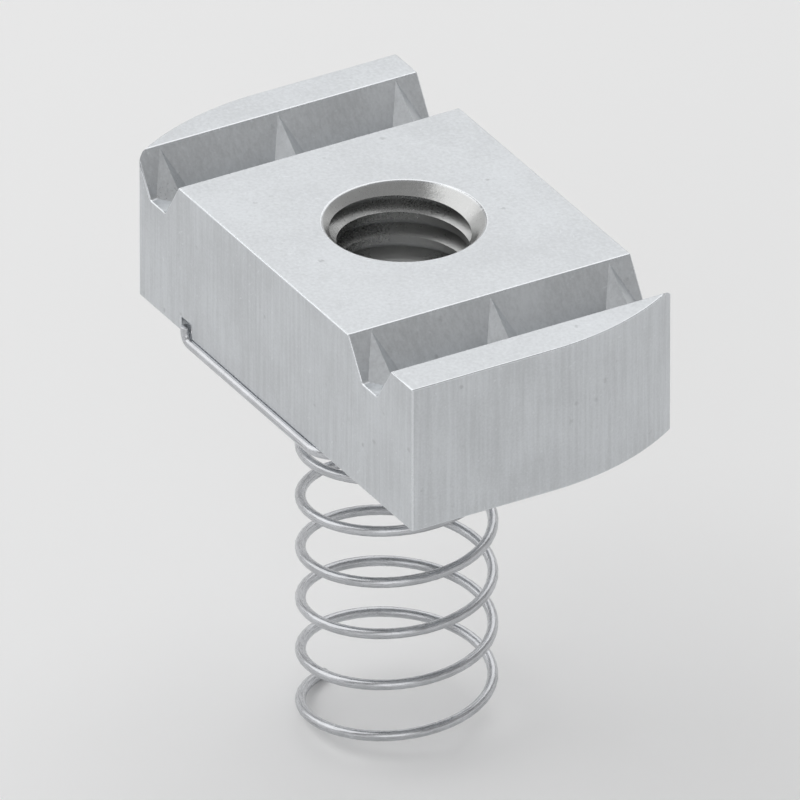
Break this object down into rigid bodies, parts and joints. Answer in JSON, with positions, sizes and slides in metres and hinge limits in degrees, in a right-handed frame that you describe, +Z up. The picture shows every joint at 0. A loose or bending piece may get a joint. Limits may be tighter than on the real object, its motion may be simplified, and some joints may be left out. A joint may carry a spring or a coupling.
{
  "type": "strut spring nut",
  "caption": "Toothed strut channel nut with a threaded hole, two grooves for the channel's lips and a coil spring hooked under it.",
  "frame": {"origin": "on the axis of the threaded hole, midway through the nut's thickness", "axes": "+X along the nut's length, across the channel's two lips; +Y across the nut's width, along the channel; +Z up along the hole, out of the toothed face, with the spring hanging towards -Z"},
  "size_m": [0.035, 0.0193, 0.0331],
  "materials": {
    "zinc_plated_steel": "bright zinc plate, satin",
    "spring_wire": "bright drawn spring wire"
  },
  "bodies": {
    "root": {"channel_nut": "zinc_plated_steel", "coil_spring": "spring_wire"}
  },
  "joints": []
}
